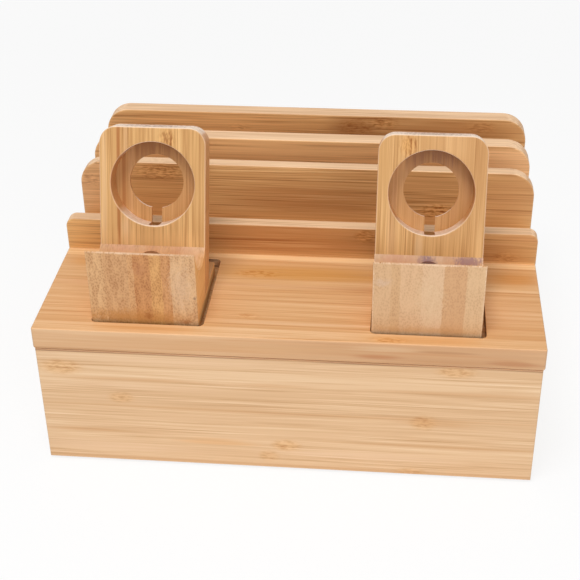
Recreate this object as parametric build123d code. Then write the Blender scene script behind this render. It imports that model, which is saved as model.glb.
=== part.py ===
from build123d import *
import os
from math import cos, radians, sqrt, tan

# A bamboo charging station. A box holds the power strip, a loose lid board closes it, four dividers
# stand on the lid, and two small watch stands drop into pockets in front of them.
# Millimetres. X runs along the width, +Y to the back, +Z up. The origin is on the ground, under the middle.

# Lid board. Its depth follows from the pockets, the dividers and the bays between them.
lid_width = 280.0
lid_thickness = 13.3
lid_corner_radius = 1.5
lid_edge_radius = 1.0
lid_side_overhang = 0.95
lid_end_overhang = 0.1
lid_seat_gap = 0.3

# Box walls, floor board and feet
wall_height = 76.7
wall_thickness = 10.0
wall_edge_radius = 0.8
floor_thickness = 5.0
floor_lift = 3.5
groove_depth = 4.0
groove_clearance = 0.15
foot_stand_off = 1.5
foot_radius = 6.0
foot_edge_radius = 0.6
foot_inset = 22.0

# Opening for the power lead, in the back wall
lead_opening_width = 56.0
lead_opening_height = 26.0
lead_opening_radius = 6.0
lead_opening_lift = 18.0

# Dowels in the box corners. The skin is the wood left in front of their holes.
wall_dowel_radius = 3.0
wall_dowel_skin = 2.5
wall_dowel_in_end = 15.0
dowel_clearance = 0.05
dowel_end_gap = 0.5
wall_dowel_height_shares = (0.25, 0.55, 0.85)

# Cleats under the lid, which keep it in place on the box
cleat_width = 12.0
cleat_height = 8.0
cleat_clearance = 0.6
cleat_edge_radius = 1.0

# Dividers, and the open bays between them from front to back
pocket_to_divider = 7.1
first_bay_depth = 33.2
second_bay_depth = 29.2
third_bay_depth = 28.1
thin_divider_thickness = 8.4
thick_divider_thickness = 11.8
low_divider_height = 20.0
tall_divider_height = 37.8
low_divider_radius = 5.5
tall_divider_radius = 15.5
divider_edge_radius = 0.9

# Cable slots through the lid, one behind each of the first three dividers
cable_slot_length = 150.0
cable_slot_width = 9.0

# Wood screws
screw_radius = 1.5
screw_head_radius = 3.0
screw_tip_length = 3.0
screw_clearance = 0.25
screw_thread_clearance = 0.03
screw_head_clearance = 0.1
divider_screw_length = 24.0
cleat_screw_length = 16.0
driver_slot_width = 0.9
driver_slot_depth = 1.0
driver_arm_share = 0.6
divider_screw_shares = (-0.38, 0.0, 0.38)
cleat_screw_shares = (-0.32, 0.32)

# Watch stands: foot and block. The stand's front is measured from the lid's front edge.
# Both stands rest a little to the left in their pockets, by stand_rest_shift.
stand_side_margin = 33.2
stand_rest_shift = -1.1
stand_width = 59.5
stand_front = 11.1
stand_depth = 61.0
foot_slab_rise = 2.9
lip_height = 43.5
lip_flat = 1.0
trough_depth = 10.2
block_edge_radius = 0.7
cable_hole_radius = 7.8
cable_hole_to_plate = 10.6

# Watch stands: leaning plate. Its foot is the line where its front face meets the trough.
plate_lean = 19.4
plate_thickness = 15.0
plate_foot_y = 44.5
plate_foot_z = 29.1
plate_reach = 66.2
plate_corner_radius = 9.5
plate_edge_radius = 0.8
seat_side_margin = 6.2
seat_top_margin = 8.0
seat_ledge_thickness = 2.2
puck_hole_radius = 15.3
seat_rim_radius = 0.6
cord_notch_width = 5.9
cord_notch_skin = 3.2
cord_notch_drop = 4.2

# Dowels between plate and block
stand_dowel_radius = 2.5
stand_dowel_in_plate = 9.0
stand_dowel_in_block = 9.0
stand_dowel_spread = 38.0
stand_dowel_drop = 15.0

# Pockets in the lid for the stands
pocket_depth = 6.0
pocket_side_clearance = 1.5
pocket_front_clearance = 1.8
pocket_back_room = 8.7
pocket_corner_radius = 3.0
pocket_edge_radius = 0.4
pocket_ledge = 10.0
pocket_seat_gap = 0.3

# How far cuts run past the faces that they leave through, and how near counts as the same place
overrun = 2.0
same_place = 0.001

# Heights
wall_bottom = foot_stand_off
wall_top = wall_bottom + wall_height
floor_bottom = wall_bottom + floor_lift
floor_top = floor_bottom + floor_thickness
lid_bottom = wall_top + lid_seat_gap
lid_top = lid_bottom + lid_thickness
pocket_floor = lid_top - pocket_depth

# Plan of the lid, from its front edge
pocket_front = stand_front - pocket_front_clearance
pocket_back = stand_front + stand_depth + pocket_back_room
low_divider_front = pocket_back + pocket_to_divider
middle_divider_front = low_divider_front + thin_divider_thickness + first_bay_depth
upper_divider_front = middle_divider_front + thin_divider_thickness + second_bay_depth
back_divider_front = upper_divider_front + thick_divider_thickness + third_bay_depth
lid_depth = back_divider_front + thick_divider_thickness

# Height and corner radius of the low divider and of the tall ones
low_shape = (low_divider_height, low_divider_radius)
tall_shape = (tall_divider_height, tall_divider_radius)

# Name, front, thickness, height and corner radius of each divider
divider_table = [
    ("low_divider", low_divider_front, thin_divider_thickness, *low_shape),
    ("middle_divider", middle_divider_front, thin_divider_thickness, *tall_shape),
    ("upper_divider", upper_divider_front, thick_divider_thickness, *tall_shape),
    ("back_divider", back_divider_front, thick_divider_thickness, *tall_shape),
]

# Plan, from the middle
lid_front = -lid_depth / 2
lid_back = lid_depth / 2
box_half_width = lid_width / 2 - lid_side_overhang
box_half_depth = lid_depth / 2 - lid_end_overhang
inner_half_width = box_half_width - wall_thickness
inner_half_depth = box_half_depth - wall_thickness
stand_offset = lid_width / 2 - stand_side_margin - stand_width / 2

# Watch stands: the trough's chord runs from the back of the lip down to the plate's foot
lip_back = stand_front + lip_flat
trough_reach = plate_foot_y - lip_back
trough_fall = lip_height - plate_foot_z
trough_chord = sqrt(trough_reach ** 2 + trough_fall ** 2)

# Watch stands: the seat in the plate
seat_radius = stand_width / 2 - seat_side_margin
seat_depth = plate_thickness - seat_ledge_thickness
puck_centre_reach = plate_reach - seat_top_margin - seat_radius


def block(x_low, x_high, y_low, y_high, z_low, z_high):
    """A box between two corners."""
    middle = Pos((x_low + x_high) / 2, (y_low + y_high) / 2, (z_low + z_high) / 2)
    return middle * Box(x_high - x_low, y_high - y_low, z_high - z_low)


def post(radius, x, y, z_low, z_high):
    """An upright cylinder."""
    return Pos(x, y, (z_low + z_high) / 2) * Cylinder(radius, z_high - z_low)


def rod(radius, x, z, y_low, y_high):
    """A cylinder that lies along Y."""
    return Pos(x, (y_low + y_high) / 2, z) * Rot(X=90) * Cylinder(radius, y_high - y_low)


def rounded_bar(length, width, radius, x, y, z_low, z_high):
    """An upright prism with a rounded rectangle as its plan."""
    plan = Pos(x, y, z_low) * RectangleRounded(length, width, radius)
    return extrude(plan, amount=z_high - z_low)


def group(solids):
    """Separate solids that share one node."""
    return Compound(children=list(solids))


# Box

def dowel_heights():
    return [wall_bottom + wall_height * share for share in wall_dowel_height_shares]


def wall_dowel_places():
    """Middle line and height of each corner dowel."""
    x = box_half_width - wall_thickness / 2
    return [(side * x, end, z) for side in (-1, 1) for end in (-1, 1) for z in dowel_heights()]


def wall_dowel(x, end, z, grow, end_gap):
    """One corner dowel, or its hole where it is grown. end is -1 at the front and 1 at the back."""
    joint = end * inner_half_depth
    outer = joint + end * (wall_thickness - wall_dowel_skin - dowel_end_gap + end_gap)
    inner = joint - end * (wall_dowel_in_end + end_gap)
    return rod(wall_dowel_radius + grow, x, z, min(outer, inner), max(outer, inner))


def cut_dowel_holes(wall):
    for x, end, z in wall_dowel_places():
        wall -= wall_dowel(x, end, z, dowel_clearance, dowel_end_gap)
    return wall


def floor_board(grow=0):
    """The floor board, or the groove space that it sits in where it is grown."""
    reach = groove_depth - groove_clearance + grow
    return block(
        -inner_half_width - reach, inner_half_width + reach,
        -inner_half_depth - reach, inner_half_depth + reach,
        floor_bottom - grow, floor_top + grow,
    )


def end_wall(end):
    """Front wall where end is -1, back wall where it is 1. It covers the ends of the side walls."""
    outer = end * box_half_depth
    inner = end * inner_half_depth
    wall = block(
        -box_half_width, box_half_width, min(outer, inner), max(outer, inner),
        wall_bottom, wall_top)
    show_face = wall.faces().sort_by(Axis.Y)[0 if end < 0 else -1]
    wall = fillet(show_face.edges(), wall_edge_radius)
    wall -= floor_board(groove_clearance)
    return cut_dowel_holes(wall)


def back_wall():
    """The back wall has the opening that the power strip's lead leaves by."""
    middle_z = wall_bottom + lead_opening_lift + lead_opening_height / 2
    outline = RectangleRounded(lead_opening_width, lead_opening_height, lead_opening_radius)
    opening = extrude(Pos(0, box_half_depth + overrun, middle_z) * Rot(X=90) * outline,
                      amount=wall_thickness + 2 * overrun)
    return end_wall(1) - opening


def side_wall(side):
    outer = side * box_half_width
    inner = side * inner_half_width
    wall = block(
        min(outer, inner), max(outer, inner), -inner_half_depth, inner_half_depth,
        wall_bottom, wall_top)
    show_face = wall.faces().sort_by(Axis.X)[0 if side < 0 else -1]
    long_edges = show_face.edges().filter_by(Axis.Y)
    wall = fillet(long_edges, wall_edge_radius)
    wall -= floor_board(groove_clearance)
    return cut_dowel_holes(wall)


def wall_dowels():
    return group(wall_dowel(x, end, z, 0, 0) for x, end, z in wall_dowel_places())


def feet():
    """Four soft pads on the underside of the floor board."""
    pads = []
    for x in (-1, 1):
        for y in (-1, 1):
            pad = post(
                foot_radius, x * (inner_half_width - foot_inset), y * (inner_half_depth - foot_inset),
                0, floor_bottom,
            )
            pads.append(fillet(pad.edges().sort_by(Axis.Z)[0], foot_edge_radius))
    return group(pads)


# Screws

def screw(length):
    """A countersunk wood screw, head down at z 0, tip up."""
    head_height = screw_head_radius - screw_radius
    head = Pos(0, 0, head_height / 2) * Cone(screw_head_radius, screw_radius, head_height)
    shank = post(screw_radius, 0, 0, head_height, length - screw_tip_length)
    tip = Pos(0, 0, length - screw_tip_length / 2) * Cone(screw_radius, 0, screw_tip_length)
    body = head + shank + tip
    for turn in (0, 90):
        arm = block(
            -screw_head_radius * driver_arm_share, screw_head_radius * driver_arm_share,
            -driver_slot_width / 2, driver_slot_width / 2,
            -overrun, driver_slot_depth,
        )
        body -= Rot(Z=turn) * arm
    return body


def screw_hole(length, wide_depth):
    """The space for one screw: loose up to wide_depth, close round the thread above it."""
    head_height = screw_head_radius - screw_radius
    loose = post(screw_radius + screw_clearance, 0, 0, -overrun, wide_depth)
    close = post(screw_radius + screw_thread_clearance, 0, 0, 0, length + screw_head_clearance)
    sink = Pos(0, 0, head_height / 2) * Cone(
        screw_head_radius + screw_head_clearance, screw_radius + screw_head_clearance, head_height)
    return loose + close + sink


def divider_screw_places():
    return [
        (lid_width * share, lid_front + front + thickness / 2)
        for _, front, thickness, _, _ in divider_table
        for share in divider_screw_shares
    ]


def divider_screws():
    return group(Pos(x, y, lid_bottom) * screw(divider_screw_length) for x, y in divider_screw_places())


def cut_divider_screws(shape):
    for x, y in divider_screw_places():
        shape -= Pos(x, y, lid_bottom) * screw_hole(divider_screw_length, lid_thickness)
    return shape


def cleat_middle_x():
    return inner_half_width - cleat_clearance - cleat_width / 2


def cleat_length():
    return 2 * (inner_half_depth - cleat_clearance)


def cleat_screw_places():
    return [
        (side * cleat_middle_x(), cleat_length() * share)
        for side in (-1, 1)
        for share in cleat_screw_shares
    ]


def cleat_screws():
    low = lid_bottom - cleat_height
    return group(Pos(x, y, low) * screw(cleat_screw_length) for x, y in cleat_screw_places())


def cut_cleat_screws(shape):
    low = lid_bottom - cleat_height
    for x, y in cleat_screw_places():
        shape -= Pos(x, y, low) * screw_hole(cleat_screw_length, cleat_height)
    return shape


# Lid

def pocket(side):
    """The recess that one stand drops into, with a ledge round a through opening."""
    width = stand_width + 2 * pocket_side_clearance
    front = lid_front + pocket_front
    back = lid_front + pocket_back
    x = side * stand_offset
    recess = rounded_bar(
        width, back - front, pocket_corner_radius, x, (front + back) / 2, pocket_floor, lid_top + overrun)
    through_front = front + pocket_ledge
    through = rounded_bar(
        width - 2 * pocket_ledge, back - through_front, pocket_corner_radius,
        x, (through_front + back) / 2, lid_bottom - overrun, pocket_floor + overrun)
    return recess + through


def cable_slots():
    """One long slot in the middle of each bay between two dividers."""
    outline = SlotOverall(cable_slot_length, cable_slot_width)
    slots = []
    for near, far in zip(divider_table, divider_table[1:]):
        bay_front = lid_front + near[1] + near[2]
        bay_back = lid_front + far[1]
        plan = Pos(0, (bay_front + bay_back) / 2, lid_bottom - overrun) * outline
        slots.append(extrude(plan, amount=lid_thickness + 2 * overrun))
    return slots


def lid_board():
    board = block(-lid_width / 2, lid_width / 2, lid_front, lid_back, lid_bottom, lid_top)
    board = fillet(board.edges().filter_by(Axis.Z), lid_corner_radius)
    for place in (0, -1):
        board = fillet(board.faces().sort_by(Axis.Z)[place].edges(), lid_edge_radius)
    for side in (-1, 1):
        board -= pocket(side)
    for slot in cable_slots():
        board -= slot
    top_face = board.faces().sort_by(Axis.Z)[-1]
    for wire in top_face.inner_wires():
        board = fillet(board_edges_like(board, wire), pocket_edge_radius)
    board = cut_divider_screws(board)
    return cut_cleat_screws(board)


def board_edges_like(board, wire):
    """The board's own edges that run along a wire."""
    centres = [edge.center() for edge in wire.edges()]
    return [
        edge for edge in board.edges()
        if any((edge.center() - centre).length < same_place for centre in centres)
    ]


def ease_both_faces(board, low, radius):
    """Round the rims of a board's front and back faces, except along its underside at low."""
    for place in (0, -1):
        face = board.faces().sort_by(Axis.Y)[place]
        rim = [edge for edge in face.edges() if edge.center().Z > low + same_place]
        board = fillet(rim, radius)
    return board


def divider(front, thickness, height, radius):
    """A board on edge, across the whole lid, with its two upper corners rounded."""
    y = lid_front + front
    board = block(-lid_width / 2, lid_width / 2, y, y + thickness, lid_top, lid_top + height)
    board = fillet(board.edges().filter_by(Axis.Y).group_by(Axis.Z)[-1], radius)
    return cut_divider_screws(ease_both_faces(board, lid_top, divider_edge_radius))


def cleat(side):
    x = side * cleat_middle_x()
    reach = cleat_length() / 2
    bar = block(
        x - cleat_width / 2, x + cleat_width / 2, -reach, reach,
        lid_bottom - cleat_height, lid_bottom)
    bar = fillet(bar.faces().sort_by(Axis.Z)[0].edges(), cleat_edge_radius)
    return cut_cleat_screws(bar)


# Watch stands

def stand_middle(side):
    """Where a stand's middle rests along the width."""
    return side * stand_offset + stand_rest_shift


def on_plate(side):
    """Place on the leaning plate: y 0 is its front face, z 0 the line where it meets the trough."""
    return Pos(stand_middle(side), lid_front + plate_foot_y, lid_top + plate_foot_z) * Rot(X=-plate_lean)


def stand_dowel_shapes(side, grow, end_gap):
    shapes = []
    for x in (-stand_dowel_spread / 2, stand_dowel_spread / 2):
        dowel = rod(
            stand_dowel_radius + grow, x, -stand_dowel_drop,
            -stand_dowel_in_block - end_gap, stand_dowel_in_plate + end_gap)
        shapes.append(on_plate(side) * dowel)
    return shapes


def cable_hole(side):
    """The upright hole from the bottom of the trough down through the foot."""
    y = lid_front + plate_foot_y - cable_hole_to_plate
    return post(cable_hole_radius, stand_middle(side), y, pocket_floor - overrun, lid_top + lip_height)


def trough_arc():
    """The trough is a round groove. Its middle lies trough_depth below its chord, square to it."""
    middle_y = lip_back + trough_reach / 2 - trough_depth * trough_fall / trough_chord
    middle_z = lip_height - trough_fall / 2 - trough_depth * trough_reach / trough_chord
    return ThreePointArc((lip_back, lip_height), (middle_y, middle_z), (plate_foot_y, plate_foot_z))


def stand_block(side):
    """Foot slab, front block and lip in one piece, sawn to one profile across the width."""
    bottom = pocket_floor + pocket_seat_gap - lid_top
    slab_back = stand_front + stand_depth
    seat_y = plate_foot_y - (plate_foot_z - foot_slab_rise) * tan(radians(plate_lean))
    outline = [
        trough_arc(),
        Line((plate_foot_y, plate_foot_z), (seat_y, foot_slab_rise)),
        Line((seat_y, foot_slab_rise), (slab_back, foot_slab_rise)),
        Line((slab_back, foot_slab_rise), (slab_back, bottom)),
        Line((slab_back, bottom), (stand_front, bottom)),
        Line((stand_front, bottom), (stand_front, lip_height)),
        Line((stand_front, lip_height), (lip_back, lip_height)),
    ]
    body = extrude(Plane.YZ * make_face(Wire(outline)), amount=stand_width / 2, both=True)
    front_face = body.faces().sort_by(Axis.Y)[0]
    body = fillet(front_face.edges().filter_by(Axis.Z), block_edge_radius)
    body = Pos(stand_middle(side), lid_front, lid_top) * body
    body -= cable_hole(side)
    for hole in stand_dowel_shapes(side, dowel_clearance, dowel_end_gap):
        body -= hole
    return body


def watch_plate(side):
    """The leaning plate, with a stepped round seat for the charging puck.

    The notch for the puck's cord cuts the seat's ledge and runs on down behind a skin of the front face.
    """
    drop = (plate_foot_z + plate_thickness) / cos(radians(plate_lean))
    plate = block(-stand_width / 2, stand_width / 2, 0, plate_thickness, -drop, plate_reach)
    plate = fillet(plate.edges().filter_by(Axis.Y).group_by(Axis.Z)[-1], plate_corner_radius)
    plate = ease_both_faces(plate, -drop, plate_edge_radius)
    plate -= rod(seat_radius, 0, puck_centre_reach, -overrun, seat_depth)
    front_face = plate.faces().sort_by(Axis.Y)[0]
    plate = fillet(front_face.inner_wires()[0].edges(), seat_rim_radius)
    plate -= rod(puck_hole_radius, 0, puck_centre_reach, 0, plate_thickness + overrun)
    plate -= block(
        -cord_notch_width / 2, cord_notch_width / 2, cord_notch_skin, plate_thickness + overrun,
        puck_centre_reach - seat_radius - cord_notch_drop, puck_centre_reach)
    plate = on_plate(side) * plate
    slab_top = lid_top + foot_slab_rise
    middle_x = stand_middle(side)
    plate -= block(
        middle_x - stand_width, middle_x + stand_width, lid_front, lid_back,
        slab_top - plate_foot_z - plate_thickness, slab_top)
    plate -= cable_hole(side)
    for hole in stand_dowel_shapes(side, dowel_clearance, dowel_end_gap):
        plate -= hole
    return plate


def nodes():
    pieces = {
        "front_wall": end_wall(-1),
        "back_wall": back_wall(),
        "left_wall": side_wall(-1),
        "right_wall": side_wall(1),
        "floor_board": floor_board(),
        "corner_dowels": wall_dowels(),
        "feet": feet(),
        "lid_board": lid_board(),
        "left_cleat": cleat(-1),
        "right_cleat": cleat(1),
        "divider_screws": divider_screws(),
        "cleat_screws": cleat_screws(),
    }
    for name, front, thickness, height, radius in divider_table:
        pieces[name] = divider(front, thickness, height, radius)
    for word, side in (("left", -1), ("right", 1)):
        pieces[word + "_stand_block"] = stand_block(side)
        pieces[word + "_watch_plate"] = watch_plate(side)
        pieces[word + "_stand_dowels"] = group(stand_dowel_shapes(side, 0, 0))
    return pieces


os.makedirs("parts", exist_ok=True)
for name, shape in nodes().items():
    export_step(shape, f"parts/{name}.step")
    print(name, len(shape.solids()), round(shape.volume))
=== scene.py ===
import bpy
import bmesh
import math
from mathutils import Matrix, Vector

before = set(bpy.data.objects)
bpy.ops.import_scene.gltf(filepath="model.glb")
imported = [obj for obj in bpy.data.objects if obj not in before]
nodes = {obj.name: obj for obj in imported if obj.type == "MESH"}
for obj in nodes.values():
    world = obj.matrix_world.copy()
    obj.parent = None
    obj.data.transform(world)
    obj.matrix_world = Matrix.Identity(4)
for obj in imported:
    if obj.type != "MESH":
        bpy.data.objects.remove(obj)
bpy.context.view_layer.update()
print("frame loaded:", len(nodes), "pieces")

perMetre = 1000.0               # millimetres


# Small helpers for shader trees

def toLinear(colour):
    # display values from 0 to 255, by the sRGB curve, to the linear ones that a shader takes
    linear = []
    for value in colour:
        share = value / 255
        linear.append(share / 12.92 if share <= 0.04045 else ((share + 0.055) / 1.055) ** 2.4)
    return tuple(linear) + (1.0,)


def setInput(tree, socket, value):
    if isinstance(value, bpy.types.NodeSocket):
        tree.links.new(value, socket)
    else:
        socket.default_value = value


def addMaths(tree, operation, first, second=None, clamp=False):
    node = tree.nodes.new("ShaderNodeMath")
    node.operation = operation
    node.use_clamp = clamp
    setInput(tree, node.inputs[0], first)
    if second is not None:
        setInput(tree, node.inputs[1], second)
    return node.outputs[0]


def addRange(tree, value, low, high, newLow=0.0, newHigh=1.0, smooth=True):
    node = tree.nodes.new("ShaderNodeMapRange")
    node.interpolation_type = "SMOOTHSTEP" if smooth else "LINEAR"
    for socket, number in zip(node.inputs[:5], (value, low, high, newLow, newHigh)):
        setInput(tree, socket, number)
    return node.outputs[0]


def addVector(tree, x, y, z):
    node = tree.nodes.new("ShaderNodeCombineXYZ")
    for socket, value in zip(node.inputs, (x, y, z)):
        setInput(tree, socket, value)
    return node.outputs[0]


def addNoise(tree, vector, detail=2.0, roughness=0.5, distortion=0.0):
    node = tree.nodes.new("ShaderNodeTexNoise")
    setInput(tree, node.inputs["Vector"], vector)
    node.inputs["Scale"].default_value = 1.0
    node.inputs["Detail"].default_value = detail
    node.inputs["Roughness"].default_value = roughness
    node.inputs["Distortion"].default_value = distortion
    return node.outputs["Fac"]


def addMix(tree, factor, first, second, blend="MIX"):
    node = tree.nodes.new("ShaderNodeMix")
    node.data_type = "RGBA"
    node.blend_type = blend
    setInput(tree, node.inputs[0], factor)
    setInput(tree, node.inputs[6], first)
    setInput(tree, node.inputs[7], second)
    return node.outputs[2]


def addRamp(tree, value, stops, steps=False):
    node = tree.nodes.new("ShaderNodeValToRGB")
    ramp = node.color_ramp
    ramp.interpolation = "CONSTANT" if steps else "LINEAR"
    while len(ramp.elements) < len(stops):
        ramp.elements.new(0.5)
    for element, (place, colour) in zip(ramp.elements, stops):
        element.position = place
        element.color = colour
    setInput(tree, node.inputs[0], value)
    return node.outputs[0]


def addLength(tree, vector):
    node = tree.nodes.new("ShaderNodeVectorMath")
    node.operation = "LENGTH"
    tree.links.new(vector, node.inputs[0])
    return node.outputs["Value"]


def addBump(tree, shader, height, strength, depth):
    bump = tree.nodes.new("ShaderNodeBump")
    bump.inputs["Strength"].default_value = strength
    bump.inputs["Distance"].default_value = depth
    tree.links.new(height, bump.inputs["Height"])
    tree.links.new(bump.outputs[0], shader.inputs["Normal"])


# Bamboo. Fibres run along one axis of a board, strips lie side by side across it.
# Counts are per metre: along and across the fibres, and where there are three, through them too.
# A range says between which values of its pattern a thing comes in, a fade between which distances from its
# middle a spot goes out, where 1 is the spot's rim.

bambooLook = {
    "fibreCounts": (15.0, 1050.0),
    "streakCounts": (8.0, 500.0),
    "broadCounts": (5.0, 190.0),
    "calmCounts": (12.0, 170.0),        # patches where the thin fibres hardly show
    "calmRange": (0.36, 0.64),
    "calmShares": (0.35, 1.45),
    "lineCounts": (9.0, 700.0),         # thin dark lines
    "lineRange": (0.60, 0.72),
    "waveCounts": (9.0, 30.0),          # along and through
    "wander": 0.0006,                   # how far fibres stray sideways, in metres
    "stripShift": 40.0,                 # sets the strips of one board apart in the pattern
    "seedShift": 7,                     # and the boards
    "tone": 0.34,                       # 0 is the palest fibre, 1 the darkest
    "middleTone": 0.38,                 # where the middle colour lies
    "stripContrast": 0.20,
    "broadContrast": 0.60,
    "streakContrast": 0.60,
    "fineContrast": 0.70,
    "lineContrast": 0.20,
    "markFade": (0.35, 1.1),
    "curlCounts": (240.0, 950.0, 300.0),    # the crossed grain in a knuckle
    "curlRange": (0.36, 0.72),
    "curlMiddle": 0.28,
    "knuckleContrast": 1.0,
    "knuckleTint": (252, 242, 226),
    "seamWidth": 0.5,                   # millimetres
    "seamStart": 0.2,                   # share of that width at which a seam is full
    "seamBreaks": (0.35, 0.6, 0.15, 1.0),   # a range of the broad layer, and the seam's share at both ends
    "seamContrast": 0.20,
    "endFrom": 0.55,                    # from this slope on a face turns to end grain
    "sideFrom": 0.55,                   # and from this one to a narrow side
    "faceBlend": 0.25,
    "fibreRange": (0.1, 0.9, 0.0, 0.5),     # how the tone shades narrow sides and stains
    "bundleCount": 940.0,               # cut bundles, the dots on end grain
    "bundleDepth": 0.62,
    "bundleRange": (0.08, 0.56),
    "bundleContrast": 0.25,
    "fewestDots": 0.35,
    "cloudCounts": (40.0, 300.0, 75.0),
    "cloudRange": (0.3, 0.7),
    "cloudContrast": 0.16,
    "wobbleCounts": (60.0, 500.0, 120.0),   # how the strips' edges waver on end grain
    "wobble": 2.4,                      # millimetres
    "raggedness": 1.2,                  # how far stains and painted shade run out along the fibres
    "spotFade": (0.2, 1.1),
    "spotFibres": 0.8,
    "seatDepth": (1.0, 2.0),            # millimetres behind the front face
    "pocketShadeMargin": (4.0, 7.0),           # millimetres from the board's own rim
    "lean": 0.0,                        # degrees
    "rimAmount": 0.0,                   # paler eased edges
    "rimRange": (0.08, 0.3),            # slopes at which they start
    "flatRange": (0.86, 0.98),          # and end
    "rimColour": (250, 224, 196),
    "roughness": (0.42, 0.62),
    "specular": 0.35,
    "bump": 0.12,
    "bumpDepth": 0.0004,
}

# Palettes run from the palest fibre to the darkest. Edge is a board's long narrow side, end its end grain.
palettes = {
    "wall": {
        "face": ((238, 205, 166), (223, 184, 142), (190, 142, 94)),
        "edge": (232, 194, 154), "end": (224, 186, 148), "bundles": (186, 140, 100),
        "grain": {
            "broadContrast": 0.22, "streakContrast": 0.30, "fineContrast": 1.02, "knuckleContrast": 0.55}},
    "lid": {
        "face": ((240, 196, 148), (222, 170, 116), (190, 122, 58)),
        "edge": (222, 182, 140), "end": (216, 172, 130), "bundles": (170, 120, 80),
        "grain": {"streakContrast": 0.56, "fineContrast": 0.80, "knuckleContrast": 0.85, "bump": 0.06}},
    "divider": {
        "face": ((236, 192, 134), (210, 158, 100), (146, 88, 40)),
        "edge": (255, 213, 168), "end": (226, 178, 128), "bundles": (176, 124, 80),
        "grain": {
            "broadContrast": 0.30, "streakContrast": 0.42, "fineContrast": 1.55,
            "lineContrast": 0.36, "knuckleContrast": 0.85}},
    "plate": {
        "face": ((231, 185, 125), (205, 156, 98), (152, 95, 43)),
        "edge": (226, 164, 104), "end": (255, 230, 206), "bundles": (240, 204, 172),
        "grain": {
            "bundleContrast": 0.18, "cloudContrast": 0.22, "stripContrast": 0.08, "broadContrast": 0.06,
            "streakContrast": 0.18, "fineContrast": 1.45}},
    "block": {
        "face": ((232, 186, 134), (216, 160, 106), (176, 116, 66)),
        "edge": (255, 200, 130), "end": (222, 180, 136), "bundles": (160, 106, 62),
        "grain": {"fineContrast": 1.0, "endFrom": 0.28}},
}

# Each board: its palette, the axes along, across and through its fibres, and the width of its strips.
# Marks are knuckles: place, half width, half height and strength. Stains are paler or darker spots: place,
# half width, half height, colour and strength; some of them are painted light and shade, as noted where they
# stand. Both count in millimetres from the board's left end and down from its top edge, or back from its
# front edge where the board lies flat. Edge stains lie on its narrow long side, painted seat shade down in a
# plate's seat, painted pocket shade on the walls of the lid's pockets, and trough stains behind a block's
# lip, counted back from its front. Bands tint a block's strips, each from its left edge on.

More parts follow.
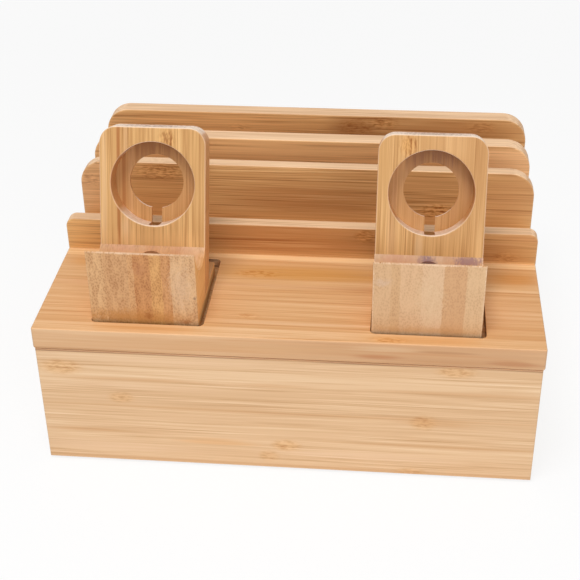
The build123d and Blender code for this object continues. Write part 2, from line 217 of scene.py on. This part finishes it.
boards = {
    "front_wall": {
        "palette": "wall", "grain": "XZY", "strip": 9.3, "seed": 3.1,
        "marks": (
            (13, 11.5, 15, 6.4, 1.0), (46, 31, 9, 4.6, 0.8), (139, 60, 10, 5.0, 1.0),
            (129, 68, 7, 5.0, 0.7), (232, 3.4, 13, 4.4, 0.9), (216, 39, 9, 6.0, 1.0),
            (210, 75, 11, 3.6, 0.9)),
        "stainsAndPaintedLight": (
            # the first spot is a painted shadow: a dark line along the top edge, under the lid
            (140, 0, 900, 1.4, (124, 74, 38), 0.85), (60, 18.2, 60, 1.7, (206, 150, 96), 0.45),
            (240, 18.0, 70, 2.0, (200, 146, 92), 0.45), (130, 18.0, 30, 1.6, (206, 150, 96), 0.3),
            (140, 37.0, 190, 1.4, (204, 150, 98), 0.4), (225, 39.0, 26, 3.4, (208, 152, 98), 0.4),
            (28, 55.0, 30, 1.8, (206, 150, 98), 0.45), (230, 55.6, 90, 1.5, (198, 144, 90), 0.45),
            (98, 60.0, 28, 3.4, (224, 166, 104), 0.5), (140, 75.0, 300, 1.4, (206, 152, 102), 0.45),
            (180, 65.0, 60, 3.6, (238, 202, 166), 0.6), (40, 66.0, 60, 4.0, (236, 200, 164), 0.5),
            (80, 4.0, 130, 3.8, (238, 202, 164), 0.5), (60, 23.0, 60, 3.2, (238, 202, 164), 0.4)),
    },
    "back_wall": {
        "palette": "wall", "grain": "XZY", "strip": 9.3, "seed": 8.4,
        "marks": ((62, 23, 7, 4.0, 0.8), (205, 51, 7, 4.0, 0.8), (160, 8, 6, 3.5, 0.7)),
    },
    "left_wall": {
        "palette": "wall", "grain": "YZX", "strip": 9.3, "seed": 5.7,
        "marks": ((60, 32, 7, 4.0, 0.8), (150, 60, 7, 4.0, 0.8)),
    },
    "right_wall": {
        "palette": "wall", "grain": "YZX", "strip": 9.3, "seed": 9.9,
        "marks": ((120, 14, 7, 4.0, 0.8), (42, 51, 7, 4.0, 0.8)),
    },
    "floor_board": {"palette": "wall", "grain": "XYZ", "strip": 12.0, "seed": 2.3},
    "lid_board": {
        "palette": "lid", "grain": "XYZ", "strip": 9.3, "seed": 4.2,
        "marks": (
            (119, 66, 16, 4.6, 1.0), (118, 21, 8, 3.6, 0.5), (196, 3.6, 13, 3.2, 1.0),
            (92, 165, 7, 4.0, 0.8)),
        "stainsAndPaintedLight": (
            # the first spot is a paler strip of the lid, made paler still as painted light against the
            # divider's shade
            (140, 84, 400, 4.6, (255, 214, 160), 0.95), (150, 67, 80, 11.0, (210, 144, 58), 0.66),
            (266, 70, 26, 9.0, (204, 132, 56), 0.7), (24, 72, 24, 6.0, (222, 156, 84), 0.55),
            (150, 53, 80, 3.0, (232, 184, 138), 0.55), (150, 37.6, 110, 1.0, (200, 140, 84), 0.35),
            (20, 50, 30, 5.0, (234, 182, 134), 0.5), (150, 15.5, 100, 1.6, (234, 188, 144), 0.5),
            (66, 5, 40, 3.6, (210, 148, 82), 0.45), (212, 4.6, 40, 3.6, (212, 150, 84), 0.45),
            (262, 34, 24, 26.0, (228, 178, 130), 0.4), (140, 0.2, 400, 1.0, (236, 188, 142), 0.5)),
        "edgeStains": (
            (216, 7.0, 110, 16.0, (198, 150, 108), 0.7), (236, 10.5, 60, 2.6, (186, 136, 94), 0.4),
            (190, 9.0, 16, 1.8, (182, 118, 76), 0.6),
            (192, 3.6, 22, 2.6, (222, 186, 146), 0.6), (226, 4.4, 18, 1.2, (178, 124, 78), 0.5),
            (262, 9.5, 14, 2.6, (184, 126, 84), 0.6), (30, 12.2, 60, 0.8, (164, 112, 70), 0.4),
            (40, 3.0, 60, 2.0, (232, 194, 152), 0.4), (120, 6.0, 80, 3.0, (216, 178, 134), 0.4)),
        # dark painted shade on the walls of both pockets, where the gaps around the stand blocks lie in
        # shadow
        "paintedPocketShade": ((62, 40, 64, 70, (44, 10, 2), 0.98), (216, 40, 64, 70, (44, 10, 2), 0.98)),
    },
    "left_cleat": {"palette": "wall", "grain": "YXZ", "strip": 9.3, "seed": 6.1},
    "right_cleat": {"palette": "wall", "grain": "YXZ", "strip": 9.3, "seed": 6.9},
    "low_divider": {
        "palette": "divider", "grain": "XZY", "strip": 9.3, "seed": 1.4,
        "marks": ((179, 5, 7, 5.0, 1.0), (262, 16, 10, 4.4, 0.6)),
        "stainsAndPaintedLight": (
            # the first three spots paint light and shade: paler at the left end where the light reaches in,
            # darker in the middle between the stands and towards the right
            (8, 10, 30, 18.0, (242, 188, 120), 0.88), (128, 10, 80, 18.0, (166, 96, 42), 0.6),
            (238, 13, 44, 12.0, (172, 106, 52), 0.6), (272, 3, 24, 5.0, (214, 156, 102), 0.6)),
    },
    "middle_divider": {
        "palette": "divider", "grain": "XZY", "strip": 9.3, "seed": 7.2,
        "marks": ((6, 13, 10, 6.0, 1.0), (50, 6, 18, 7.0, 1.0), (222, 27, 14, 6.0, 1.0)),
        "stainsAndPaintedLight": (
            # the first and third spots paint light and shade: paler at the left end where the light reaches
            # in, darker in the middle between the stands
            (6, 18, 30, 28.0, (238, 186, 132), 0.85), (50, 18, 34, 24.0, (224, 166, 104), 0.6),
            (140, 22, 64, 14.0, (178, 112, 58), 0.5), (215, 9, 34, 9.0, (220, 166, 108), 0.6),
            (268, 14, 30, 22.0, (212, 156, 102), 0.6)),
    },
    "upper_divider": {
        "palette": "divider", "grain": "XZY", "strip": 9.3, "seed": 3.8,
        "stainsAndPaintedLight": ((128, 8, 220, 18.0, (244, 190, 130), 0.88), (268, 12, 40, 20.0, (244, 192, 138), 0.85)),
    },
    "back_divider": {
        "palette": "divider", "grain": "XZY", "strip": 9.3, "seed": 5.5,
        "marks": (
            (168, 8, 14, 7.0, 0.8), (186, 5, 12, 5.0, 0.8), (250, 6, 12, 5.0, 0.6), (90, 10, 9, 3.0, 0.7)),
        "stainsAndPaintedLight": (
            (60, 9, 110, 14.0, (240, 184, 121), 0.85), (166, 9, 20, 9.0, (150, 92, 48), 0.55),
            (236, 8, 60, 10.0, (190, 132, 80), 0.5)),
    },
    "left_watch_plate": {
        "palette": "plate", "grain": "ZXY", "strip": 10.4, "seed": 2.6, "lean": 19.4, "rimAmount": 0.35,
        "marks": ((38, 6, 5.4, 7.0, 1.0),),
        "stainsAndPaintedLight": (
            (10.9, 40, 1.5, 400, (170, 100, 46), 0.75), (15.2, 40, 2.4, 400, (234, 188, 138), 0.5),
            (2.6, 40, 1.6, 400, (232, 190, 142), 0.5), (36, 4, 9, 8, (226, 180, 118), 0.4),
            # the last spot is painted light: it brightens the low part of the plate against the shade near
            # the trough
            (14.6, 58, 4.0, 11, (234, 190, 142), 0.6), (29.7, 64, 50, 9.0, (240, 188, 126), 0.45)),
        # painted shade: the whole seat a little darker, and most under its top rim, where the rim casts its
        # shadow
        "paintedSeatShade": (
            (29.7, 31.5, 46, 46, (182, 124, 74), 0.5), (29.7, 8.0, 28, 14.0, (140, 84, 42), 0.75)),
    },
    "right_watch_plate": {
        "palette": "plate", "grain": "ZXY", "strip": 10.4, "seed": 4.9, "lean": 19.4, "rimAmount": 0.35,
        "marks": ((16.5, 6.0, 6.0, 8.0, 1.0), (24.0, 44, 3.0, 4.0, 0.8)),
        "stainsAndPaintedLight": (
            (47, 12, 42, 56, (192, 138, 86), 0.45), (9.0, 55, 3.0, 30, (228, 182, 132), 0.5),
            (41, 5, 10, 12, (230, 182, 126), 0.4),
            (23.5, 62, 3.6, 12, (226, 186, 140), 0.6), (16.0, 6, 4.0, 6.0, (214, 158, 88), 0.5)),
        # painted shade: the whole seat a little darker, and most under its top rim, where the rim casts its
        # shadow
        "paintedSeatShade": (
            (29.7, 31.5, 46, 46, (182, 124, 74), 0.5), (29.7, 8.0, 28, 14.0, (134, 80, 40), 0.8)),
    },
    "left_stand_block": {
        "palette": "block", "grain": "YXZ", "strip": 11.0, "seed": 1.9, "bundleContrast": 0.6,
        "seamContrast": 0.05, "cloudContrast": 0.34,
        "bands": (
            (0, (255, 250, 238)), (9.5, (244, 232, 216)), (22.5, (250, 236, 216)), (25.5, (238, 210, 178)),
            (34.6, (252, 234, 196)), (40.6, (242, 218, 190)), (45.6, (255, 252, 246))),
        "stainsAndPaintedLight": (
            (26, 41, 34, 7.0, (192, 134, 70), 0.7), (32, 39.5, 2.6, 2.6, (156, 92, 40), 0.8),
            (52, 42.5, 5.0, 2.2, (166, 100, 48), 0.7), (29, 10, 5.0, 6.0, (176, 116, 78), 0.4),
            (58.2, 27, 0.9, 1.2, (120, 80, 50), 0.8), (51, 20, 8.0, 18.0, (224, 188, 152), 0.5),
            (29.7, 0, 40, 0.8, (250, 218, 184), 0.7)),
        "troughStains": (
            (29.7, 30, 60, 12.0, (218, 166, 124), 0.5), (12, 31, 10.0, 4.0, (212, 150, 116), 0.4),
            (46, 31, 9.0, 4.0, (206, 146, 104), 0.4)),
    },
    "right_stand_block": {
        "palette": "block", "grain": "YXZ", "strip": 11.0, "seed": 6.6, "bundleContrast": 0.28,
        "seamContrast": 0.05, "cloudContrast": 0.10, "end": (222, 186, 148),
        "bands": (
            (0, (248, 241, 230)), (9.6, (244, 234, 218)), (14.6, (252, 246, 238)), (26.0, (255, 252, 250)),
            (37.4, (242, 226, 208)), (49.2, (252, 248, 238))),
        "stainsAndPaintedLight": (
            (31, 22, 9.0, 22.0, (224, 192, 152), 0.55), (30, 41.5, 34, 3.4, (206, 156, 102), 0.5),
            (5, 12, 7.0, 3.0, (214, 184, 158), 0.5),
            (29.7, 0, 40, 0.8, (250, 220, 188), 0.7), (0, 20, 0.8, 60, (250, 220, 188), 0.6),
            (59.5, 20, 0.8, 60, (250, 220, 188), 0.6)),
        "troughStains": (
            (29.7, 30, 60, 12.0, (200, 156, 124), 0.6),
            (29, 31, 6.0, 4.5, (118, 84, 100), 0.75), (52, 31, 10.0, 5.0, (128, 88, 96), 0.75),
            (12, 31, 12.0, 5.0, (206, 148, 116), 0.5)),
    },
}


def boardRange(nodeName, lean):
    # lowest and highest places of a board's mesh, once a leaning board is turned upright
    turn = Matrix.Rotation(math.radians(lean), 3, "X")
    places = [turn @ vertex.co for vertex in nodes[nodeName].data.vertices]
    reach = []
    for index in range(3):
        values = [place[index] for place in places]
        reach.append((min(values), max(values)))
    return reach


def layOut(tree, nodeName, look):
    # places in a board: along, across and through its fibres, and in millimetres over its faces
    coordinate = tree.nodes.new("ShaderNodeTexCoord")
    turned = []
    for source in (coordinate.outputs["Object"], coordinate.outputs["Normal"]):
        mapping = tree.nodes.new("ShaderNodeMapping")
        mapping.inputs["Rotation"].default_value = (math.radians(look["lean"]), 0, 0)
        tree.links.new(source, mapping.inputs["Vector"])
        split = tree.nodes.new("ShaderNodeSeparateXYZ")
        tree.links.new(mapping.outputs[0], split.inputs[0])
        turned.append(split.outputs)
    place, normal = turned
    order = ["XYZ".index(letter) for letter in look["grain"]]
    reach = boardRange(nodeName, look["lean"])
    levelAxis = 1 if look["grain"] == "YZX" else 0
    upAxis = 1 if look["grain"] == "XYZ" else 2

    def fromStart(index):
        offset = addMaths(tree, "SUBTRACT", place[index], reach[index][0])
        return addMaths(tree, "MULTIPLY", offset, perMetre)

    def fromTop(index):
        offset = addMaths(tree, "SUBTRACT", reach[index][1], place[index])
        return addMaths(tree, "MULTIPLY", offset, perMetre)

    def faceShare(index, start):
        facing = addMaths(tree, "ABSOLUTE", normal[index])
        return addRange(tree, facing, start, start + look["faceBlend"])

    wood = {"tree": tree, "look": look}
    wood["along"], wood["across"], wood["through"] = [place[index] for index in order]
    wood["endShare"] = faceShare(order[0], look["endFrom"])
    wood["sideShare"] = faceShare(order[1], look["sideFrom"])
    wood["facing"] = normal[order[2]]
    wood["faceX"] = fromStart(levelAxis)
    wood["faceY"] = fromTop(upAxis) if upAxis == 2 else fromStart(upAxis)
    wood["fromFront"] = fromStart(1)
    wood["fromTop"] = fromTop(2)
    wood["length"] = (reach[levelAxis][1] - reach[levelAxis][0]) * perMetre
    wood["width"] = (reach[order[1]][1] - reach[order[1]][0]) * perMetre
    wood["acrossStrips"] = wood["faceX"] if order[1] == levelAxis else wood["faceY"]
    return wood


def addCounted(wood, counts):
    # a pattern's place, from its counts along, across and through the fibres
    parts = (wood["along"], wood["across"], wood["through"])
    scaled = [addMaths(wood["tree"], "MULTIPLY", part, count) for part, count in zip(parts, counts)]
    return addVector(wood["tree"], *scaled)


def addStrips(wood):
    # how far across its strip a place lies, and two numbers by chance for each strip
    tree, look = wood["tree"], wood["look"]
    stripPlace = addMaths(tree, "DIVIDE", wood["acrossStrips"], look["strip"])
    stripIndex = addMaths(tree, "FLOOR", stripPlace)
    white = tree.nodes.new("ShaderNodeTexWhiteNoise")
    tree.links.new(addVector(tree, stripIndex, look["seed"], 0.0), white.inputs["Vector"])
    chance = tree.nodes.new("ShaderNodeSeparateColor")
    tree.links.new(white.outputs["Color"], chance.inputs[0])
    return addMaths(tree, "FRACT", stripPlace), chance.outputs[0], chance.outputs[1]


def addFibres(wood, chanceShift):
    # layers of fibres that wander a little and differ from strip to strip
    tree, look = wood["tree"], wood["look"]
    along, through = wood["along"], wood["through"]
    shift = addMaths(tree, "MULTIPLY", chanceShift, look["stripShift"])
    shift = addMaths(tree, "ADD", shift, look["seed"] * look["seedShift"])
    waveLength, waveDepth = look["waveCounts"]
    waveVector = addVector(
        tree, addMaths(tree, "MULTIPLY", along, waveLength), shift,
        addMaths(tree, "MULTIPLY", through, waveDepth))
    wave = addMaths(tree, "SUBTRACT", addNoise(tree, waveVector, 1.0), 0.5)
    stray = addMaths(tree, "MULTIPLY", wave, look["wander"] * 2)
    strayed = addMaths(tree, "ADD", wood["across"], stray)

    def fibreNoise(counts, detail, roughness=0.5):
        perLength, perWidth = counts
        vector = addVector(
            tree, addMaths(tree, "ADD", addMaths(tree, "MULTIPLY", along, perLength), shift),
            addMaths(tree, "MULTIPLY", strayed, perWidth), addMaths(tree, "MULTIPLY", through, perWidth))
        return addNoise(tree, vector, detail, roughness)

    fine = fibreNoise(look["fibreCounts"], 2.0, 0.6)
    calm = addRange(tree, fibreNoise(look["calmCounts"], 1.0), *look["calmRange"], *look["calmShares"])
    fine = addMaths(tree, "MULTIPLY", addMaths(tree, "SUBTRACT", fine, 0.5), calm)
    bundles = tree.nodes.new("ShaderNodeTexVoronoi")
    bundles.voronoi_dimensions = "2D"
    bundles.inputs["Scale"].default_value = look["bundleCount"]
    bundleVector = addVector(tree, strayed, addMaths(tree, "MULTIPLY", through, look["bundleDepth"]), 0.0)
    tree.links.new(bundleVector, bundles.inputs["Vector"])
    return {
        "broad": fibreNoise(look["broadCounts"], 2.0),
        "streak": fibreNoise(look["streakCounts"], 2.0, 0.55),
        "fine": addMaths(tree, "ADD", fine, 0.5),
        "line": addRange(tree, fibreNoise(look["lineCounts"], 1.0), *look["lineRange"]),
        "bundle": addRange(tree, bundles.outputs["Distance"], *look["bundleRange"], 1.0, 0.0),
    }


def addDistance(wood, spotPlace, middleX, middleY, halfX, halfY):
    # 0 in the middle of an oval spot, 1 at its rim
    tree = wood["tree"]
    offset = addVector(
        tree, addMaths(tree, "DIVIDE", addMaths(tree, "SUBTRACT", wood["faceX"], middleX), halfX),
        addMaths(tree, "DIVIDE", addMaths(tree, "SUBTRACT", spotPlace, middleY), halfY), 0.0)
    return addLength(tree, offset)


def addKnuckles(wood):
    # where the cane had its joints
    tree, look = wood["tree"], wood["look"]
    knuckle = 0.0
    for markX, markY, halfX, halfY, strength in look.get("marks", ()):
        distance = addDistance(wood, wood["faceY"], markX, markY, halfX, halfY)
        mark = addRange(tree, distance, *look["markFade"], strength, 0.0)
        knuckle = addMaths(tree, "MAXIMUM", knuckle, mark)
    return knuckle


def addTone(wood, fibres, knuckle, stripShare, chanceTone):
    # one number from pale to dark
    tree, look = wood["tree"], wood["look"]
    tone = look["tone"]
    for layer, amount in (
            (chanceTone, "stripContrast"), (fibres["broad"], "broadContrast"),
            (fibres["streak"], "streakContrast"), (fibres["fine"], "fineContrast")):
        part = addMaths(tree, "MULTIPLY", addMaths(tree, "SUBTRACT", layer, 0.5), look[amount])
        tone = addMaths(tree, "ADD", tone, part)
    tone = addMaths(tree, "ADD", tone, addMaths(tree, "MULTIPLY", fibres["line"], look["lineContrast"]))
    curl = addNoise(tree, addCounted(wood, look["curlCounts"]), 2.0, 0.6, 0.15)
    curl = addRange(tree, curl, *look["curlRange"])
    curled = addMaths(tree, "MULTIPLY", addMaths(tree, "SUBTRACT", curl, look["curlMiddle"]), knuckle)
    tone = addMaths(tree, "ADD", tone, addMaths(tree, "MULTIPLY", curled, look["knuckleContrast"]))
    fromSeam = addMaths(tree, "MINIMUM", stripShare, addMaths(tree, "SUBTRACT", 1.0, stripShare))
    fromSeam = addMaths(tree, "MULTIPLY", fromSeam, look["strip"])
    seam = addRange(tree, fromSeam, look["seamWidth"] * look["seamStart"], look["seamWidth"], 1.0, 0.0)
    seam = addMaths(tree, "MULTIPLY", seam, addRange(tree, fibres["broad"], *look["seamBreaks"]))
    seam = addMaths(tree, "MULTIPLY", seam, look["seamContrast"])
    return addMaths(tree, "ADD", tone, seam, clamp=True)


def addEndGrain(wood, colour, bundleColour, bundle):
    # the cut bundles show as dots, thicker in some clouds than in others
    tree, look = wood["tree"], wood["look"]
    cloud = addNoise(tree, addCounted(wood, look["cloudCounts"]), 3.0, 0.6)
    cloud = addRange(tree, cloud, *look["cloudRange"])
    dots = addRange(tree, cloud, 0.0, 1.0, look["fewestDots"], 1.0)
    dots = addMaths(tree, "MULTIPLY", dots, look["bundleContrast"])
    dots = addMaths(tree, "MULTIPLY", bundle, dots)
    endColour = addMix(tree, dots, toLinear(look["end"]), bundleColour)
    clouded = addMaths(tree, "MULTIPLY", cloud, look["cloudContrast"])
    endColour = addMix(tree, clouded, endColour, bundleColour)
    return addMix(tree, wood["endShare"], colour, endColour)


def addBands(wood, colour):
    # the strips of a block's end grain, each with its own tint
    tree, look = wood["tree"], wood["look"]
    wobble = addNoise(tree, addCounted(wood, look["wobbleCounts"]), 3.0, 0.7)
    wobble = addMaths(tree, "MULTIPLY", addMaths(tree, "SUBTRACT", wobble, 0.5), look["wobble"])
    bandPlace = addMaths(tree, "ADD", wood["acrossStrips"], wobble)
    bandPlace = addMaths(tree, "DIVIDE", bandPlace, wood["width"])
    stops = [(start / wood["width"], toLinear(tint)) for start, tint in look["bands"]]
    return addMix(tree, 1.0, colour, addRamp(tree, bandPlace, stops, steps=True), "MULTIPLY")


def addStainsAndPaintedLight(wood, colour, fibres, fibreShade, dark):
    # where the wood is paler or darker, with ends that run out along the fibres;
    # some of these spots are painted light and shade
    tree, look = wood["tree"], wood["look"]
    endShare, sideShare = wood["endShare"], wood["sideShare"]
    ragged = addMaths(tree, "MULTIPLY", fibres["streak"], look["raggedness"])
    ragged = addMaths(tree, "ADD", ragged, addMaths(tree, "MULTIPLY", fibres["fine"], look["raggedness"]))
    ragged = addMaths(tree, "SUBTRACT", ragged, look["raggedness"])
    # a block shows its end grain in front, every other board a long face
    otherShare = sideShare if look["palette"] == "block" else addMaths(tree, "MAXIMUM", sideShare, endShare)
    shownFace = addMaths(tree, "SUBTRACT", 1.0, otherShare)
    inSeat = addRange(tree, wood["fromFront"], *look["seatDepth"])
    inPocketShade = addMaths(tree, "MAXIMUM", endShare, sideShare)
    fromRight = addMaths(tree, "SUBTRACT", wood["length"], wood["faceX"])
    fromEnd = addMaths(tree, "MINIMUM", wood["faceX"], fromRight)
    for fromRim in (fromEnd, wood["faceY"]):
        inPocketShade = addMaths(tree, "MULTIPLY", inPocketShade, addRange(tree, fromRim, *look["pocketShadeMargin"]))
    kinds = (
        ("stainsAndPaintedLight", wood["faceY"], shownFace), ("paintedSeatShade", wood["faceY"], inSeat),
        ("edgeStains", wood["fromTop"], sideShare), ("troughStains", wood["fromFront"], shownFace),
        ("paintedPocketShade", wood["faceY"], inPocketShade))
    for kind, spotPlace, shown in kinds:
        for spotX, spotY, halfX, halfY, spotColour, amount in look.get(kind, ()):
            distance = addDistance(wood, spotPlace, spotX, spotY, halfX, halfY)
            share = addRange(tree, addMaths(tree, "ADD", distance, ragged), *look["spotFade"], amount, 0.0)
            share = addMaths(tree, "MULTIPLY", share, shown)
            shade = addMaths(tree, "MULTIPLY", fibreShade, look["spotFibres"])
            colour = addMix(tree, share, colour, addMix(tree, shade, toLinear(spotColour), dark))
    return colour


def addPaleRims(wood, colour):
    # eased edges are made a little paler
    tree, look = wood["tree"], wood["look"]
    facing = addMaths(tree, "ABSOLUTE", wood["facing"])
    rim = addRange(tree, facing, *look["rimRange"])
    rim = addMaths(tree, "MULTIPLY", rim, addRange(tree, facing, *look["flatRange"], 1.0, 0.0))
    rim = addMaths(tree, "MULTIPLY", rim, look["rimAmount"])
    return addMix(tree, rim, colour, toLinear(look["rimColour"]))


def makeBamboo(name, board):
    look = dict(bambooLook)
    palette = palettes[board["palette"]]
    look["end"] = palette["end"]
    look.update(palette["grain"])
    look.update(board)
    material = bpy.data.materials.new(name + "_bamboo")
    material.use_nodes = True
    tree = material.node_tree
    tree.nodes.clear()
    output = tree.nodes.new("ShaderNodeOutputMaterial")
    shader = tree.nodes.new("ShaderNodeBsdfPrincipled")
    tree.links.new(shader.outputs[0], output.inputs["Surface"])

    wood = layOut(tree, name, look)
    stripShare, chanceTone, chanceShift = addStrips(wood)
    fibres = addFibres(wood, chanceShift)
    knuckle = addKnuckles(wood)
    tone = addTone(wood, fibres, knuckle, stripShare, chanceTone)
    pale, middle, dark = [toLinear(colour) for colour in palette["face"]]
    colour = addRamp(tree, tone, ((0.0, pale), (look["middleTone"], middle), (1.0, dark)))
    colour = addMix(tree, knuckle, colour, toLinear(look["knuckleTint"]), "MULTIPLY")
    fibreShade = addRange(tree, tone, *look["fibreRange"], smooth=False)
    sideColour = addMix(tree, fibreShade, toLinear(palette["edge"]), dark)
    colour = addMix(tree, wood["sideShare"], colour, sideColour)
    colour = addEndGrain(wood, colour, toLinear(palette["bundles"]), fibres["bundle"])
    if "bands" in look:
        colour = addBands(wood, colour)
    colour = addStainsAndPaintedLight(wood, colour, fibres, fibreShade, dark)
    if look["rimAmount"]:
        colour = addPaleRims(wood, colour)
    tree.links.new(colour, shader.inputs["Base Color"])
    tree.links.new(addRange(tree, tone, 0.0, 1.0, *look["roughness"]), shader.inputs["Roughness"])
    shader.inputs["Specular IOR Level"].default_value = look["specular"]
    addBump(tree, shader, addMaths(tree, "SUBTRACT", 1.0, tone), look["bump"], look["bumpDepth"])
    return material


def dress(nodeName, material):
    piece = nodes[nodeName]
    if not piece.data.materials:
        piece.data.materials.append(material)
    for index in range(len(piece.data.materials)):
        piece.data.materials[index] = material


for boardName, board in boards.items():
    dress(boardName, makeBamboo(boardName, board))
print("bamboo boards:", len(boards))


# Dowels, screws and feet. Counts of speckles are per metre, stretch is a share of them along each axis.

smallParts = {
    "dowel_beech": {
        "nodes": ("corner_dowels", "left_stand_dowels", "right_stand_dowels"),
        "pale": (224, 190, 148), "dark": (176, 132, 88), "count": 900.0, "stretch": (1.0, 0.06, 1.0),
        "roughness": 0.6, "metallic": 0.0, "bump": 0.2},
    "zinc_plated": {
        "nodes": ("divider_screws", "cleat_screws"),
        "pale": (196, 192, 184), "dark": (128, 122, 112), "count": 2200.0, "stretch": (1.0, 1.0, 0.3),
        "roughness": 0.36, "metallic": 1.0, "bump": 0.15},
    "foot_rubber": {
        "nodes": ("feet",),
        "pale": (26, 26, 27), "dark": (58, 56, 54), "count": 2600.0, "stretch": (1.0, 1.0, 1.0),
        "roughness": 0.74, "metallic": 0.0, "bump": 0.3},
}
speckles = {
    "colourRange": (0.35, 0.68),
    "glossRange": (0.3, 0.7),
    "roughnessSpread": (-0.08, 0.1),
    "bumpDepth": 0.0003,
}


def makeSpeckled(name, finish):
    material = bpy.data.materials.new(name)
    material.use_nodes = True
    tree = material.node_tree
    shader = tree.nodes["Principled BSDF"]
    coordinate = tree.nodes.new("ShaderNodeTexCoord")
    mapping = tree.nodes.new("ShaderNodeMapping")
    mapping.inputs["Scale"].default_value = [finish["count"] * share for share in finish["stretch"]]
    tree.links.new(coordinate.outputs["Object"], mapping.inputs["Vector"])
    speckle = addNoise(tree, mapping.outputs[0], 3.0, 0.6)
    shade = addRange(tree, speckle, *speckles["colourRange"])
    colour = addMix(tree, shade, toLinear(finish["pale"]), toLinear(finish["dark"]))
    tree.links.new(colour, shader.inputs["Base Color"])
    smoothest, roughest = [finish["roughness"] + spread for spread in speckles["roughnessSpread"]]
    roughness = addRange(tree, speckle, *speckles["glossRange"], smoothest, roughest)
    tree.links.new(roughness, shader.inputs["Roughness"])
    shader.inputs["Metallic"].default_value = finish["metallic"]
    addBump(tree, shader, speckle, finish["bump"], speckles["bumpDepth"])
    return material


for finishName, finish in smallParts.items():
    speckledFinish = makeSpeckled(finishName, finish)
    for nodeName in finish["nodes"]:
        dress(nodeName, speckledFinish)
print("dowels, screws and feet finished")


# Floor, light and camera

studio = {
    "floorSize": 9.0,
    "floorColour": (250, 250, 250),
    "floorRoughness": 0.9,
    "floorGlow": 0.82,          # share of plain white that the camera sees in the floor
    "glowReach": (0.5, 1.5),    # the floor fades to white between these distances
    "ambient": 0.40,
    "lampAim": (0, 0, 0.06),
    "keyPlace": (-0.20, -0.62, 1.70),
    "keySize": 0.8,
    "keyPower": 16.0,
    "fillPlace": (0.6, -1.7, 0.70),
    "fillSize": 1.2,
    "fillPower": 9.0,
}


def addSeenShare(tree):
    # 1 for rays that come straight from the camera, or through gloss and glass
    path = tree.nodes.new("ShaderNodeLightPath")
    seen = addMaths(tree, "MAXIMUM", path.outputs["Is Camera Ray"], path.outputs["Is Glossy Ray"])
    return addMaths(tree, "MAXIMUM", seen, path.outputs["Is Transmission Ray"])


def makeFloor():
    shape = bmesh.new()
    bmesh.ops.create_grid(shape, x_segments=2, y_segments=2, size=studio["floorSize"] / 2)
    mesh = bpy.data.meshes.new("studio_floor")
    shape.to_mesh(mesh)
    shape.free()
    floor = bpy.data.objects.new("studio_floor", mesh)
    bpy.context.scene.collection.objects.link(floor)
    material = bpy.data.materials.new("studio_white")
    material.use_nodes = True
    tree = material.node_tree
    shader = tree.nodes["Principled BSDF"]
    shader.inputs["Base Color"].default_value = toLinear(studio["floorColour"])
    shader.inputs["Roughness"].default_value = studio["floorRoughness"]
    shader.inputs["Specular IOR Level"].default_value = 0.0
    glow = tree.nodes.new("ShaderNodeEmission")
    glow.inputs["Strength"].default_value = 1.0
    mix = tree.nodes.new("ShaderNodeMixShader")
    coordinate = tree.nodes.new("ShaderNodeTexCoord")
    distance = addLength(tree, coordinate.outputs["Object"])
    glowShare = addRange(tree, distance, *studio["glowReach"], studio["floorGlow"], 1.0)
    tree.links.new(addMaths(tree, "MULTIPLY", addSeenShare(tree), glowShare), mix.inputs[0])
    tree.links.new(shader.outputs[0], mix.inputs[1])
    tree.links.new(glow.outputs[0], mix.inputs[2])
    tree.links.new(mix.outputs[0], tree.nodes["Material Output"].inputs["Surface"])
    mesh.materials.append(material)


def makeWorld():
    world = bpy.data.worlds.new("studio_world")
    bpy.context.scene.world = world
    world.use_nodes = True
    tree = world.node_tree
    background = tree.nodes["Background"]
    background.inputs["Color"].default_value = (1, 1, 1, 1)
    strength = addRange(tree, addSeenShare(tree), 0.0, 1.0, studio["ambient"], 1.0, smooth=False)
    tree.links.new(strength, background.inputs["Strength"])


def addLamp(name, place, size, power):
    lamp = bpy.data.lights.new(name, "AREA")
    lamp.shape = "DISK"
    lamp.size = size
    lamp.energy = power
    holder = bpy.data.objects.new(name, lamp)
    holder.location = place
    aim = Vector(studio["lampAim"]) - Vector(place)
    holder.rotation_euler = aim.to_track_quat("-Z", "Y").to_euler()
    bpy.context.scene.collection.objects.link(holder)


makeFloor()
makeWorld()
addLamp("key_lamp", studio["keyPlace"], studio["keySize"], studio["keyPower"])
addLamp("fill_lamp", studio["fillPlace"], studio["fillSize"], studio["fillPower"])
bpy.context.scene.view_settings.view_transform = "Standard"

cameraLook = {
    "place": (0.057979, -0.652280, 0.470226),
    "right": (0.99564, 0.09249, -0.01186),
    "forward": (-0.08440, 0.83975, -0.53637),
    "lens": 76.579,             # millimetres, for the sensor below
    "sensor": 36.0,
    "clipStart": 0.01,
}


def makeCamera():
    camera = bpy.data.cameras.new("photo_camera")
    camera.sensor_width = cameraLook["sensor"]
    camera.sensor_fit = "HORIZONTAL"
    camera.lens = cameraLook["lens"]
    camera.clip_start = cameraLook["clipStart"]
    holder = bpy.data.objects.new("photo_camera", camera)
    forward = Vector(cameraLook["forward"]).normalized()
    right = Vector(cameraLook["right"])
    right = (right - forward * right.dot(forward)).normalized()
    up = right.cross(forward)
    turn = Matrix((right, up, -forward)).transposed().to_4x4()
    holder.matrix_world = Matrix.Translation(cameraLook["place"]) @ turn
    bpy.context.scene.collection.objects.link(holder)
    bpy.context.scene.camera = holder


makeCamera()
print("stage, light and camera placed")
